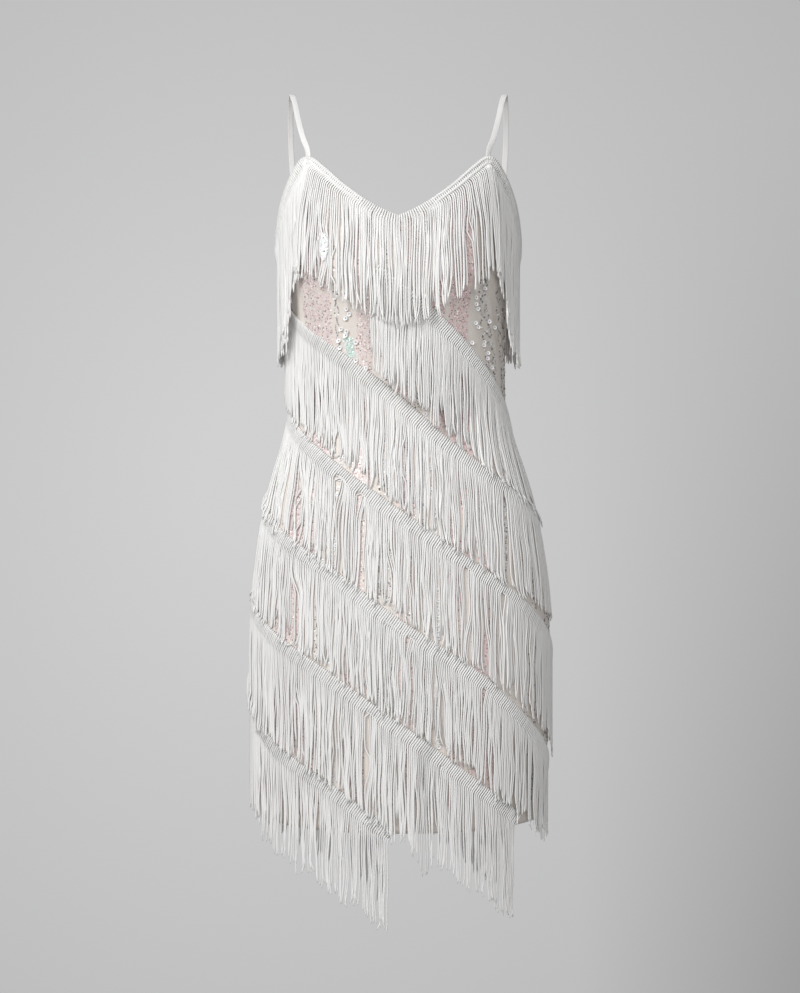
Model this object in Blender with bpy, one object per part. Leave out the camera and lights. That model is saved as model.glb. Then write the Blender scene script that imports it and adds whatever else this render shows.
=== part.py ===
"""Fringe dance dress on two thin shoulder straps, filled out as it is worn.

Metres, +Z up, the front faces -Y and +X is the wearer's left. The origin is the
middle of the shoulder line, between the tops of the two straps.

The front and back panels are lofts through level sections, each an ellipse with
its own half width and depth, with two cups on the front. Everything sewn to a
panel is made from the panel's own points, moved out. A trim is a header band
with its cords hanging from it, and the cords are one wall as long as they
reach. Its front and back lengths meet at the side seams.
"""

import math

import bmesh
import bpy
import numpy as np

# ---------------------------------------------------------------- sizes
CLOTH = 0.0012  # wall of the stretch mesh with its sequins
SEAM = 0.0003  # gap between two pieces sewn edge to edge
HEADER_LIFT = 0.0012  # underside of a header band above the cloth
HEADER_WALL = 0.0014
HEADER_WIDTH = 0.0110  # diagonal trims, square to the trim
NECK_WIDTH = 0.0070  # neck trim at the bottom of the V
ARM_WIDTH = 0.0095  # neck trim from the top of each cup round the armhole
CORD_WALL = 0.0020
CORD_LIFT_TOP = 0.0012  # cords above the cloth where they leave the header
CORD_LIFT_TIP = 0.0034  # and lower down, clear of the next header
CORD_SETTLE = 0.30  # share of the length in which they reach that
CORD_ROWS = (0.0, 0.30, 0.65, 1.0)
TOP_CORDS = 0.1250  # header's top edge to the tips, neck trim
TOP_CORDS_LIFT = 0.0064  # where the neck trim's cords lie over tier1's
TOP_CORDS_OVER = (-50.0, -24.0, 42.0, 62.0)  # angles between which they do
STRAP_WIDTH = 0.0065
STRAP_WALL = 0.0012
STRAP_TUCK = 0.010  # each strap's end, sewn inside the panel
STRAP_GAP = 0.0006  # the flat ribbon inside the rounded panel

UPPER_Z = -0.215  # the sections run down from here, the edge curves end here
UPPER_ROWS = (0.0, 0.3, 0.62, 1.0)
UPPER_SWELL = 0.0030  # roundness of the cloth above each cup
HEM_Z = -0.836
HEM_RISE = 0.008  # the hem's ends, at the side seams
BACK_EDGE_Z = -0.176
BACK_EDGE_DROP = 0.011  # from the middle of the back to the side seam

# Cups on the front panel: angle from the middle, height, spread and depth.
CUP = {"angle": 30.0, "z": -0.205, "spread": 18.0, "height": 0.046, "depth": 0.015}

# Level sections: half width, front depth, back depth and middle in x.
SECTION_COLUMNS = ("z", "half_width", "front", "back", "mid_x")
SECTIONS = (
    (-0.187, 0.1385, 0.1020, 0.0870, 0.0000),
    (-0.215, 0.1340, 0.1040, 0.0865, 0.0000),
    (-0.240, 0.1285, 0.1023, 0.0855, 0.0000),
    (-0.270, 0.1245, 0.0972, 0.0840, 0.0000),
    (-0.300, 0.1230, 0.0915, 0.0830, 0.0000),
    (-0.335, 0.1225, 0.0875, 0.0830, 0.0000),
    (-0.370, 0.1245, 0.0885, 0.0855, 0.0000),
    (-0.400, 0.1310, 0.0910, 0.0900, 0.0005),
    (-0.430, 0.1405, 0.0945, 0.0965, 0.0010),
    (-0.460, 0.1495, 0.0980, 0.1030, 0.0015),
    (-0.495, 0.1575, 0.1015, 0.1090, 0.0020),
    (-0.535, 0.1640, 0.1050, 0.1140, 0.0025),
    (-0.580, 0.1690, 0.1075, 0.1180, 0.0030),
    (-0.630, 0.1710, 0.1090, 0.1185, 0.0030),
    (-0.690, 0.1705, 0.1085, 0.1165, 0.0030),
    (-0.760, 0.1675, 0.1065, 0.1120, 0.0030),
    (-0.836, 0.1605, 0.1045, 0.1085, 0.0030),
)

# Top edge of the front panel's left half, from the bottom of the V over the
# top of the cup and down the armhole to the side seam.
EDGE_COLUMNS = ("angle", "x", "y", "z")
EDGE = (
    (0.0, 0.0000, -0.1058, -0.1530),
    (10.0, 0.0210, -0.1048, -0.1435),
    (20.0, 0.0425, -0.1015, -0.1300),
    (30.0, 0.0640, -0.0945, -0.1130),
    (39.0, 0.0825, -0.0865, -0.0955),
    (46.0, 0.0965, -0.0785, -0.0845),
    (51.0, 0.1045, -0.0730, -0.0850),
    (58.0, 0.1145, -0.0635, -0.0975),
    (66.0, 0.1240, -0.0505, -0.1155),
    (74.0, 0.1315, -0.0360, -0.1360),
    (82.0, 0.1365, -0.0190, -0.1610),
    (90.0, 0.1385, 0.0000, -0.1870),
)

# The columns of points, as angles from the middle of the front or the back.
QUARTER = tuple(row[0] for row in EDGE)
COLUMNS = tuple(-angle for angle in reversed(QUARTER[1:])) + QUARTER

# Diagonal trims: the height of the header's top edge at angles across the
# front, seen from the front's middle, its first and last angle, and the length
# of the cords from that edge. The back lies the same way, mirrored in y.
TRIM_ANGLES = (-90.0, -60.0, -30.0, 0.0, 30.0, 60.0, 90.0)
TRIM_COLUMNS = ("name", "first", "last", "length", "heights")
TRIMS = (
    ("tier1", -14.0, 90.0, 0.1180, (-0.070, -0.120, -0.172, -0.2240, -0.2765, -0.3290, -0.3780)),
    ("tier2", -90.0, 90.0, 0.1180, (-0.230, -0.267, -0.303, -0.3500, -0.4085, -0.4570, -0.4890)),
    ("tier3", -90.0, 90.0, 0.1165, (-0.355, -0.387, -0.426, -0.4780, -0.5365, -0.5890, -0.6400)),
    ("tier4", -90.0, 90.0, 0.1120, (-0.462, -0.497, -0.538, -0.6000, -0.6580, -0.7190, -0.7680)),
    ("tier5", -90.0, 58.0, 0.1220, (-0.572, -0.610, -0.654, -0.7145, -0.7775, -0.8290, -0.8750)),
    ("tier6", -90.0, -5.0, 0.1145, (-0.668, -0.733, -0.778, -0.8380, -0.8900, -0.9400, -0.9900)),
)

# A strap's middle line, wearer's left: over the shoulder from the top of the
# cup to the back's top edge.
STRAP_COLUMNS = ("x", "y", "z")
STRAP = (
    (0.1010, -0.0762, -0.0800),
    (0.1068, -0.0590, -0.0580),
    (0.1140, -0.0370, -0.0330),
    (0.1195, -0.0180, -0.0120),
    (0.1220, -0.0050, -0.0020),
    (0.1226, 0.0040, -0.0012),
    (0.1236, 0.0140, -0.0060),
    (0.1252, 0.0280, -0.0210),
    (0.1256, 0.0420, -0.0450),
    (0.1245, 0.0530, -0.0780),
    (0.1220, 0.0580, -0.1150),
    (0.1185, 0.0560, -0.1500),
    (0.1160, 0.0500, -0.1740),
)
STRAP_FRONT_ANGLE = 48.5
STRAP_BACK_ANGLE = 56.0

# ---------------------------------------------------------------- materials
FINISHES = {
    "sequin_mesh": {"colour": (0.72, 0.68, 0.64, 1.0), "roughness": 0.55, "metallic": 0.0},
    "cord": {"colour": (0.86, 0.85, 0.83, 1.0), "roughness": 0.60, "metallic": 0.0},
    "header": {"colour": (0.88, 0.87, 0.85, 1.0), "roughness": 0.60, "metallic": 0.0},
    "strap": {"colour": (0.88, 0.87, 0.86, 1.0), "roughness": 0.45, "metallic": 0.0},
}


def clear_scene():
    for obj in list(bpy.data.objects):
        bpy.data.objects.remove(obj, do_unlink=True)


def finish(name):
    spec = FINISHES[name]
    material = bpy.data.materials.new(name)
    material.use_nodes = True
    shader = material.node_tree.nodes["Principled BSDF"]
    shader.inputs["Base Color"].default_value = spec["colour"]
    shader.inputs["Roughness"].default_value = spec["roughness"]
    shader.inputs["Metallic"].default_value = spec["metallic"]
    return material


# ---------------------------------------------------------------- the body's form
def section(z):
    """Half width, front depth, back depth and middle of the section at z."""
    table = np.array(SECTIONS)
    return [float(np.interp(-z, -table[:, 0], table[:, k])) for k in (1, 2, 3, 4)]


def cup_depth(angle, z):
    across = (abs(angle) - CUP["angle"]) / CUP["spread"]
    along = (z - CUP["z"]) / CUP["height"]
    return CUP["depth"] * math.exp(-0.5 * (across * across + along * along))


def section_point(side, angle, z):
    half, front, back, mid = section(z)
    turn = math.radians(angle)
    if side == "front":
        y = -front * math.cos(turn) - cup_depth(angle, z) * math.cos(turn)
    else:
        y = back * math.cos(turn)
    return np.array((mid + half * math.sin(turn), y, z))


def edge_point(side, angle):
    """A point of the panel's top edge."""
    if side == "back":
        z = BACK_EDGE_Z - BACK_EDGE_DROP * (abs(angle) / 90.0) ** 2
        return section_point("back", angle, z)
    table = np.array(EDGE)
    x, y, z = (float(np.interp(abs(angle), table[:, 0], table[:, k])) for k in (1, 2, 3))
    return np.array((math.copysign(x, angle), y, z))


def hem_z(angle):
    return HEM_Z + HEM_RISE * abs(math.sin(math.radians(angle))) ** 3


def outward(side, angle):
    """The level direction square to the panel at this angle."""
    turn = math.radians(angle)
    across, along = math.sin(turn) / 0.150, math.cos(turn) / 0.105
    if abs(abs(angle) - 90.0) < 1e-6:
        along = 0.0
    way = np.array((across, -along if side == "front" else along, 0.0))
    return way / np.linalg.norm(way)


def panel_column(side, angle):
    """The panel's points down one column, from its top edge to its hem."""
    top, bottom = edge_point(side, angle), section_point(side, angle, UPPER_Z)
    swell = UPPER_SWELL * math.exp(-(((abs(angle) - 34.0) / 22.0) ** 2))
    way = outward(side, angle)
    points = []
    for share in UPPER_ROWS:
        bulge = swell * math.sin(math.pi * share) if side == "front" else 0.0
        points.append(top + (bottom - top) * share + way * bulge)
    for z in [row[0] for row in SECTIONS[2:-1]] + [hem_z(angle)]:
        points.append(section_point(side, angle, z))
    return np.array(points)


PANEL = {
    side: [panel_column(side, angle) for angle in COLUMNS] for side in ("front", "back")
}


def on_column(side, index, z):
    column = PANEL[side][index]
    x = np.interp(-z, -column[:, 2], column[:, 0])
    y = np.interp(-z, -column[:, 2], column[:, 1])
    return np.array((x, y, z))


def on_panel(side, angle, z, lift=0.0):
    """The panel's point at an angle and a height, moved out by lift."""
    index = int(np.clip(np.searchsorted(COLUMNS, angle, side="right") - 1, 0, len(COLUMNS) - 2))
    share = (angle - COLUMNS[index]) / (COLUMNS[index + 1] - COLUMNS[index])
    point = (1.0 - share) * on_column(side, index, z) + share * on_column(side, index + 1, z)
    return point + outward(side, angle) * lift


def hanging(side, angle, z_from, z_to, lift):
    """A cord's point at z_to: it hangs plumb, and lies on whatever pushes it out."""
    way = outward(side, angle)
    heights = np.linspace(z_from, z_to, 25)
    points = [on_panel(side, angle, max(z, hem_z(angle)), 0.0) for z in heights]
    best = points[int(np.argmax([point @ way for point in points]))]
    return np.array((best[0], best[1], z_to)) + way * lift


# ---------------------------------------------------------------- trims
def trim_height(heights, angle):
    return float(np.interp(angle, TRIM_ANGLES, heights))


def slope_factor(side, angle, height):
    """How much taller than wide a sloping band is, read off its own edge."""
    step = 2.0
    low, high = max(angle - step, -90.0), min(angle + step, 90.0)
    a = on_panel(side, low, height(low))
    b = on_panel(side, high, height(high))
    run = math.hypot(a[0] - b[0], a[1] - b[1])
    return min(math.hypot(1.0, (a[2] - b[2]) / run), 2.0)


def neck_height(side):
    return lambda angle: edge_point(side, angle)[2]


def neck_width(side, angle):
    if side == "back":
        return NECK_WIDTH
    return float(np.interp(abs(angle), (0.0, 40.0, 90.0), (NECK_WIDTH, ARM_WIDTH, ARM_WIDTH)))


def band_bottom(side, angle, height, width):
    bottom = height(angle) - width * slope_factor(side, angle, height)
    return max(bottom, hem_z(angle) + 0.0005)


def angles_between(first, last):
    inside = [angle for angle in COLUMNS if first + 1.5 < angle < last - 1.5]
    return [first] + inside + [last]


def with_halves(angles):
    """The same angles with one more between each two, for a band over the cups."""
    halves = [(a + b) / 2.0 for a, b in zip(angles, angles[1:])]
    return sorted(angles + halves)


# ---------------------------------------------------------------- solids
def closed_wall(name, outer, inner, side):
    """A closed wall between two grids of points, rows down and columns across."""
    outer, inner = np.array(outer), np.array(inner)
    shift = (-0.5 if side == "front" else 0.5) * SEAM if side else 0.0
    rows, cols = outer.shape[:2]
    mesh = bmesh.new()
    skins = []
    for grid in (outer, inner):
        skins.append([[mesh.verts.new((p[0], p[1] + shift, p[2])) for p in row] for row in grid])
    for skin in skins:
        for r in range(rows - 1):
            for c in range(cols - 1):
                mesh.faces.new((skin[r][c], skin[r][c + 1], skin[r + 1][c + 1], skin[r + 1][c]))
    rim = [(0, c) for c in range(cols)] + [(r, cols - 1) for r in range(1, rows)]
    rim += [(rows - 1, c) for c in range(cols - 2, -1, -1)] + [(r, 0) for r in range(rows - 2, 0, -1)]
    for (r0, c0), (r1, c1) in zip(rim, rim[1:] + rim[:1]):
        mesh.faces.new((skins[0][r0][c0], skins[0][r1][c1], skins[1][r1][c1], skins[1][r0][c0]))
    bmesh.ops.recalc_face_normals(mesh, faces=mesh.faces)
    data = bpy.data.meshes.new(name)
    mesh.to_mesh(data)
    mesh.free()
    data.shade_smooth()
    data.set_sharp_from_angle(angle=math.radians(50.0))
    return bpy.data.objects.new(name, data)


def panel(side):
    columns = PANEL[side]
    ways = [outward(side, angle) for angle in COLUMNS]
    rows = range(len(columns[0]))
    outer = [[columns[c][r] for c in range(len(COLUMNS))] for r in rows]
    inner = [[columns[c][r] - ways[c] * CLOTH for c in range(len(COLUMNS))] for r in rows]
    return closed_wall("body_" + side, outer, inner, side)


def header(name, side, angles, height, width):
    tops = [height(angle) for angle in angles]
    bottoms = [band_bottom(side, angle, height, width(angle)) for angle in angles]
    skins = []
    for lift in (HEADER_LIFT + HEADER_WALL, HEADER_LIFT):
        skins.append(
            [
                [on_panel(side, angle, z, lift) for angle, z in zip(angles, level)]
                for level in (tops, bottoms)
            ]
        )
    return closed_wall(name, skins[0], skins[1], side)


def cords(name, side, angles, height, width, length, stop, tip_lift):
    """The wall that a row of cords fills, from under its header to the tips."""
    outer, inner = [], []
    for share in CORD_ROWS:
        row_out, row_in = [], []
        for angle in angles:
            settled = min(share / CORD_SETTLE, 1.0)
            lift = CORD_LIFT_TOP + (tip_lift(angle) - CORD_LIFT_TOP) * settled
            start = band_bottom(side, angle, height, width(angle)) - SEAM
            end = max(height(angle) - length, stop(angle))
            z = start + (end - start) * share
            row_out.append(hanging(side, angle, start, z, lift + CORD_WALL))
            row_in.append(hanging(side, angle, start, z, lift))
        outer.append(row_out)
        inner.append(row_in)
    return closed_wall(name, outer, inner, side)


def strap_path(hand):
    """The strap's middle line with its two ends tucked inside the panels."""
    tuck = -(CLOTH + STRAP_GAP + STRAP_WALL / 2.0)
    ends = []
    for side, angle in (("front", STRAP_FRONT_ANGLE), ("back", STRAP_BACK_ANGLE)):
        top = edge_point(side, angle)[2]
        ends.append([on_panel(side, angle, top + up, tuck) for up in (-STRAP_TUCK, 0.0)])
        ends[-1][1][2] = top + 0.003
    points = ends[0] + [np.array(row) for row in STRAP[1:-1]] + ends[1][::-1]
    return [np.array((hand * p[0], p[1], p[2])) for p in points]


def strap(name, hand):
    path = strap_path(hand)
    last = len(path) - 1
    outer, inner = [], []
    for index, point in enumerate(path):
        ahead = path[min(index + 1, last)] - path[max(index - 1, 0)]
        ahead /= np.linalg.norm(ahead)
        # The ribbon lies flat on the panel at both ends and on the shoulder between.
        side, angle = ("front", STRAP_FRONT_ANGLE) if index < last / 2 else ("back", STRAP_BACK_ANGLE)
        z = edge_point(side, angle)[2] - STRAP_TUCK
        chord = on_panel(side, hand * (angle + 2.5), z) - on_panel(side, hand * (angle - 2.5), z)
        chord *= math.copysign(1.0, chord[0]) / np.linalg.norm(chord)
        blend = min(1.0, max(0.0, 1.0 - (min(index, last - index) - 1.0) / 3.0))
        across = np.array((1.0, 0.0, 0.0)) * (1.0 - blend) + chord * blend
        across -= ahead * (across @ ahead)
        across /= np.linalg.norm(across)
        face = np.cross(ahead, across)
        edges = [point - across * STRAP_WIDTH / 2.0, point + across * STRAP_WIDTH / 2.0]
        outer.append([p + face * STRAP_WALL / 2.0 for p in edges])
        inner.append([p - face * STRAP_WALL / 2.0 for p in edges])
    return closed_wall(name, outer, inner, None)


# ---------------------------------------------------------------- the dress
def build():
    clear_scene()
    collection = bpy.data.collections.new("fringe_dance_dress")
    bpy.context.scene.collection.children.link(collection)
    root = bpy.data.objects.new("dress", None)
    collection.objects.link(root)
    finishes = {name: finish(name) for name in FINISHES}

    def add(obj, slot):
        obj.data.materials.append(finishes[slot])
        obj.parent = root
        collection.objects.link(obj)

    for side in ("front", "back"):
        add(panel(side), "sequin_mesh")
        neck = neck_height(side)
        width = lambda angle, side=side: neck_width(side, angle)
        add(header("top_header_" + side, side, COLUMNS, neck, width), "header")
        no_stop = lambda angle: -9.0
        over = lambda angle: float(
            np.interp(angle, TOP_CORDS_OVER, (CORD_LIFT_TIP, TOP_CORDS_LIFT, TOP_CORDS_LIFT, CORD_LIFT_TIP))
        )
        plain = lambda angle: CORD_LIFT_TIP
        add(cords("top_fringe_" + side, side, COLUMNS, neck, width, TOP_CORDS, no_stop, over), "cord")
        for index, (name, first, last, length, heights) in enumerate(TRIMS):
            angles = angles_between(first, last)
            height = lambda angle, heights=heights: trim_height(heights, angle)
            band = lambda angle: HEADER_WIDTH
            stop = no_stop
            if index + 1 < len(TRIMS):
                below = TRIMS[index + 1]
                lower = lambda angle, below=below: trim_height(below[4], angle)
                # The tips end above the next row's own cords.
                stop = lambda angle, below=below, lower=lower, side=side: (
                    band_bottom(side, angle, lower, HEADER_WIDTH) + 0.001
                    if below[1] <= angle <= below[2]
                    else -9.0
                )
            fine = with_halves(angles) if index == 0 else angles
            add(header(name + "_header_" + side, side, fine, height, band), "header")
            add(cords(name + "_fringe_" + side, side, angles, height, band, length, stop, plain), "cord")
    add(strap("strap_left", 1.0), "strap")
    add(strap("strap_right", -1.0), "strap")


build()
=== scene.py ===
"""Looks of the fringe dance dress: sequinned stretch mesh, corded trims and straps.

Metres, +Z up, the front faces -Y. Each piece follows the same formulas as the
solid it stands for, drawn finer: the panels are smooth through the same
sections, and each trim's cords are laid over its header band one by one, then
hung plumb from it and pushed out by whatever they lie on.
"""

import math

import bpy
import numpy as np
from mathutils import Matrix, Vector


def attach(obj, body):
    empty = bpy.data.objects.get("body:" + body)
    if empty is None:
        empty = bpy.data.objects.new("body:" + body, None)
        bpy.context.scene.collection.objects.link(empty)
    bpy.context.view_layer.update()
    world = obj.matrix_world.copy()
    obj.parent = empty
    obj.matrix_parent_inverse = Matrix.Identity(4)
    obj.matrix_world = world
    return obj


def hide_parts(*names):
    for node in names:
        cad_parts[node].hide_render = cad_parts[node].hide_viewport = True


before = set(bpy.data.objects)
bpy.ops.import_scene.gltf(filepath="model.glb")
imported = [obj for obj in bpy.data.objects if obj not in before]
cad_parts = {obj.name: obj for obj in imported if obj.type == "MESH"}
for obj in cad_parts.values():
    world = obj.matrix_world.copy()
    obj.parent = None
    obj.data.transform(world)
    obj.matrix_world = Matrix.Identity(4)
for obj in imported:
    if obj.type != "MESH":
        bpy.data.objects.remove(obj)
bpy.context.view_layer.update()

RNG = np.random.default_rng(20711)
MM = 0.001

# ------------------------------------------------------------------ the form
UPPER_Z = -0.215
UPPER_ROWS = (0.0, 0.3, 0.62, 1.0)
UPPER_SWELL = 0.0030
HEM_Z, HEM_RISE = -0.836, 0.008
BACK_EDGE_Z, BACK_EDGE_DROP = -0.176, 0.011
CUP = {"angle": 30.0, "z": -0.205, "spread": 18.0, "height": 0.046, "depth": 0.015}
# z, half width, front depth, back depth, middle in x
SECTIONS = np.array(
    (
        (-0.187, 0.1385, 0.1020, 0.0870, 0.0000),
        (-0.215, 0.1340, 0.1040, 0.0865, 0.0000),
        (-0.240, 0.1285, 0.1023, 0.0855, 0.0000),
        (-0.270, 0.1245, 0.0972, 0.0840, 0.0000),
        (-0.300, 0.1230, 0.0915, 0.0830, 0.0000),
        (-0.335, 0.1225, 0.0875, 0.0830, 0.0000),
        (-0.370, 0.1245, 0.0885, 0.0855, 0.0000),
        (-0.400, 0.1310, 0.0910, 0.0900, 0.0005),
        (-0.430, 0.1405, 0.0945, 0.0965, 0.0010),
        (-0.460, 0.1495, 0.0980, 0.1030, 0.0015),
        (-0.495, 0.1575, 0.1015, 0.1090, 0.0020),
        (-0.535, 0.1640, 0.1050, 0.1140, 0.0025),
        (-0.580, 0.1690, 0.1075, 0.1180, 0.0030),
        (-0.630, 0.1710, 0.1090, 0.1185, 0.0030),
        (-0.690, 0.1705, 0.1085, 0.1165, 0.0030),
        (-0.760, 0.1675, 0.1065, 0.1120, 0.0030),
        (-0.836, 0.1605, 0.1045, 0.1085, 0.0030),
    )
)
# angle, x, y, z
EDGE = np.array(
    (
        (0.0, 0.0000, -0.1058, -0.1530),
        (10.0, 0.0210, -0.1048, -0.1435),
        (20.0, 0.0425, -0.1015, -0.1300),
        (30.0, 0.0640, -0.0945, -0.1130),
        (39.0, 0.0825, -0.0865, -0.0955),
        (46.0, 0.0965, -0.0785, -0.0845),
        (51.0, 0.1045, -0.0730, -0.0850),
        (58.0, 0.1145, -0.0635, -0.0975),
        (66.0, 0.1240, -0.0505, -0.1155),
        (74.0, 0.1315, -0.0360, -0.1360),
        (82.0, 0.1365, -0.0190, -0.1610),
        (90.0, 0.1385, 0.0000, -0.1870),
    )
)
TRIM_ANGLES = np.array((-90.0, -60.0, -30.0, 0.0, 30.0, 60.0, 90.0))
# name, first angle, last angle, cord length, heights at TRIM_ANGLES
TRIMS = (
    ("tier1", -14.0, 90.0, 0.1180, (-0.070, -0.120, -0.172, -0.2240, -0.2765, -0.3290, -0.3780)),
    ("tier2", -90.0, 90.0, 0.1180, (-0.230, -0.267, -0.303, -0.3500, -0.4085, -0.4570, -0.4890)),
    ("tier3", -90.0, 90.0, 0.1165, (-0.355, -0.387, -0.426, -0.4780, -0.5365, -0.5890, -0.6400)),
    ("tier4", -90.0, 90.0, 0.1120, (-0.462, -0.497, -0.538, -0.6000, -0.6580, -0.7190, -0.7680)),
    ("tier5", -90.0, 58.0, 0.1220, (-0.572, -0.610, -0.654, -0.7145, -0.7775, -0.8290, -0.8750)),
    ("tier6", -90.0, -5.0, 0.1145, (-0.668, -0.733, -0.778, -0.8380, -0.8900, -0.9400, -0.9900)),
)
HEADER_WIDTH = 0.0110
NECK_WIDTH, ARM_WIDTH = 0.0070, 0.0095
TOP_CORDS = 0.1250
PITCH = 0.00262  # from cord to cord along a header
CORD_RADIUS = 0.00092


def smooth(xq, x, y):
    """A curve through the points (x, y) with three-point tangents."""
    xq, x, y = np.asarray(xq, float), np.asarray(x, float), np.asarray(y, float)
    h = np.diff(x)
    d = np.diff(y) / h
    m = np.empty_like(y)
    m[0], m[-1] = d[0], d[-1]
    m[1:-1] = (d[:-1] * h[1:] + d[1:] * h[:-1]) / (h[1:] + h[:-1])
    k = np.clip(np.searchsorted(x, xq, side="right") - 1, 0, len(x) - 2)
    t = (xq - x[k]) / h[k]
    low, high = t < 0.0, t > 1.0
    tc = np.clip(t, 0.0, 1.0)
    value = (
        (2 * tc**3 - 3 * tc**2 + 1) * y[k]
        + (tc**3 - 2 * tc**2 + tc) * h[k] * m[k]
        + (-2 * tc**3 + 3 * tc**2) * y[k + 1]
        + (tc**3 - tc**2) * h[k] * m[k + 1]
    )
    value = np.where(low, y[0] + (xq - x[0]) * m[0], value)
    return np.where(high, y[-1] + (xq - x[-1]) * m[-1], value)


def section(z):
    return [smooth(-np.asarray(z), -SECTIONS[:, 0], SECTIONS[:, k]) for k in (1, 2, 3, 4)]


def section_point(side, angle, z):
    half, front, back, mid = section(z)
    turn = np.radians(angle)
    cup = CUP["depth"] * np.exp(
        -0.5 * (((np.abs(angle) - CUP["angle"]) / CUP["spread"]) ** 2 + ((z - CUP["z"]) / CUP["height"]) ** 2)
    )
    y = -(front + cup) * np.cos(turn) if side == "front" else back * np.cos(turn)
    return np.stack(np.broadcast_arrays(mid + half * np.sin(turn), y, z), -1)


def edge_z(side, angle):
    angle = np.asarray(angle, float)
    if side == "back":
        return BACK_EDGE_Z - BACK_EDGE_DROP * (np.abs(angle) / 90.0) ** 2
    return smooth(np.abs(angle), EDGE[:, 0], EDGE[:, 3])


def hem_z(angle):
    return HEM_Z + HEM_RISE * np.abs(np.sin(np.radians(angle))) ** 3


ANGLES = np.linspace(-90.0, 90.0, 361)
HEIGHTS = np.linspace(-0.070, -0.850, 391)


def form_table(side):
    """The panel's x and y over a grid of angles and heights."""
    table = np.zeros((len(ANGLES), len(HEIGHTS), 2))
    lower = SECTIONS[2:, 0]
    for i, angle in enumerate(ANGLES):
        top_z = float(edge_z(side, angle))
        if side == "front":
            top = np.array(
                (
                    math.copysign(float(smooth(abs(angle), EDGE[:, 0], EDGE[:, 1])), angle),
                    float(smooth(abs(angle), EDGE[:, 0], EDGE[:, 2])),
                )
            )
        else:
            top = section_point("back", angle, np.array(top_z))[:2]
        bottom = section_point(side, angle, np.array(UPPER_Z))[:2]
        way = np.array((math.sin(math.radians(angle)) / 0.150, -math.cos(math.radians(angle)) / 0.105))
        way /= np.linalg.norm(way)
        swell = UPPER_SWELL * math.exp(-(((abs(angle) - 34.0) / 22.0) ** 2)) if side == "front" else 0.0
        rows = [top + (bottom - top) * s + way * swell * math.sin(math.pi * s) for s in UPPER_ROWS]
        zs = [top_z + (UPPER_Z - top_z) * s for s in UPPER_ROWS]
        low = section_point(side, angle, lower)
        zs = np.concatenate([zs, lower])
        xy = np.concatenate([np.array(rows), low[:, :2]])
        for k in (0, 1):
            table[i, :, k] = smooth(-HEIGHTS, -zs, xy[:, k])
    return table


FORM = {side: form_table(side) for side in ("front", "back")}


def form(side, angle, z):
    """The panel's outer surface at an angle and a height, as points."""
    angle, z = np.broadcast_arrays(np.asarray(angle, float), np.asarray(z, float))
    u = np.clip((angle - ANGLES[0]) / (ANGLES[1] - ANGLES[0]), 0, len(ANGLES) - 1.0001)
    v = np.clip((z - HEIGHTS[0]) / (HEIGHTS[1] - HEIGHTS[0]), 0, len(HEIGHTS) - 1.0001)
    i, j = u.astype(int), v.astype(int)
    a, b = (u - i)[..., None], (v - j)[..., None]
    t = FORM[side]
    xy = (t[i, j] * (1 - a) + t[i + 1, j] * a) * (1 - b) + (t[i, j + 1] * (1 - a) + t[i + 1, j + 1] * a) * b
    return np.concatenate([xy, z[..., None]], -1)


def unit(v):
    return v / np.maximum(np.linalg.norm(v, axis=-1, keepdims=True), 1e-12)


def frames(side, angle, z):
    """Level tangent (with its metres per degree), down tangent and outward normal."""
    a0, a1 = np.clip(angle - 0.6, -90, 90), np.clip(angle + 0.6, -90, 90)
    across = (form(side, a1, z) - form(side, a0, z)) / (a1 - a0)[..., None]
    down = form(side, angle, z - 0.002) - form(side, angle, z + 0.002)
    rate = np.linalg.norm(across, axis=-1)
    level = unit(across)
    normal = unit(np.cross(down, across)) if side == "front" else unit(np.cross(across, down))
    flip = np.sign(np.sum(normal[..., :2] * (form(side, angle, z)[..., :2]), -1))
    return level, rate, unit(down), normal * flip[..., None]


def level_out(side, angle, z):
    """The outward direction square to the level section."""
    level, _, _, normal = frames(side, angle, z)
    flat = normal.copy()
    flat[..., 2] = 0.0
    return unit(flat)


def angle_of(side, points):
    half, front, back, mid = section(points[..., 2])
    depth = front if side == "front" else back
    sign = -1.0 if side == "front" else 1.0
    return np.degrees(np.arctan2((points[..., 0] - mid) / half, np.maximum(sign * points[..., 1] / depth, 0.0)))


# ------------------------------------------------------------------ meshes
def mesh_object(name, verts, faces, uv=None, tone=None, smooth_shade=True):
    """verts (n, 3); faces a list of integer arrays (m, k); uv per corner; tone per vertex."""
    data = bpy.data.meshes.new(name)
    verts = np.asarray(verts, np.float32)
    loops = np.concatenate([f.reshape(-1) for f in faces]).astype(np.int32)
    sizes = np.concatenate([np.full(len(f), f.shape[1]) for f in faces])
    starts = np.concatenate([[0], np.cumsum(sizes)[:-1]]).astype(np.int32)
    data.vertices.add(len(verts))
    data.vertices.foreach_set("co", verts.reshape(-1))
    data.loops.add(len(loops))
    data.loops.foreach_set("vertex_index", loops)
    data.polygons.add(len(sizes))
    data.polygons.foreach_set("loop_start", starts)
    data.update(calc_edges=True)
    data.polygons.foreach_set("use_smooth", np.full(len(sizes), smooth_shade))
    if uv is not None:
        layer = data.uv_layers.new(name="UVMap")
        layer.data.foreach_set("uv", np.asarray(uv, np.float32).reshape(-1))
    if tone is not None:
        layer = data.color_attributes.new("tone", "FLOAT_COLOR", "POINT")
        tone = np.asarray(tone, np.float32)
        if tone.ndim == 1:
            tone = np.stack([tone] * 3, -1)
        rgba = np.concatenate([tone, np.ones((len(tone), 1), np.float32)], 1)
        layer.data.foreach_set("color", rgba.reshape(-1))
    data.validate()
    data.update()
    obj = bpy.data.objects.new(name, data)
    bpy.context.scene.collection.objects.link(obj)
    return obj


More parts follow.
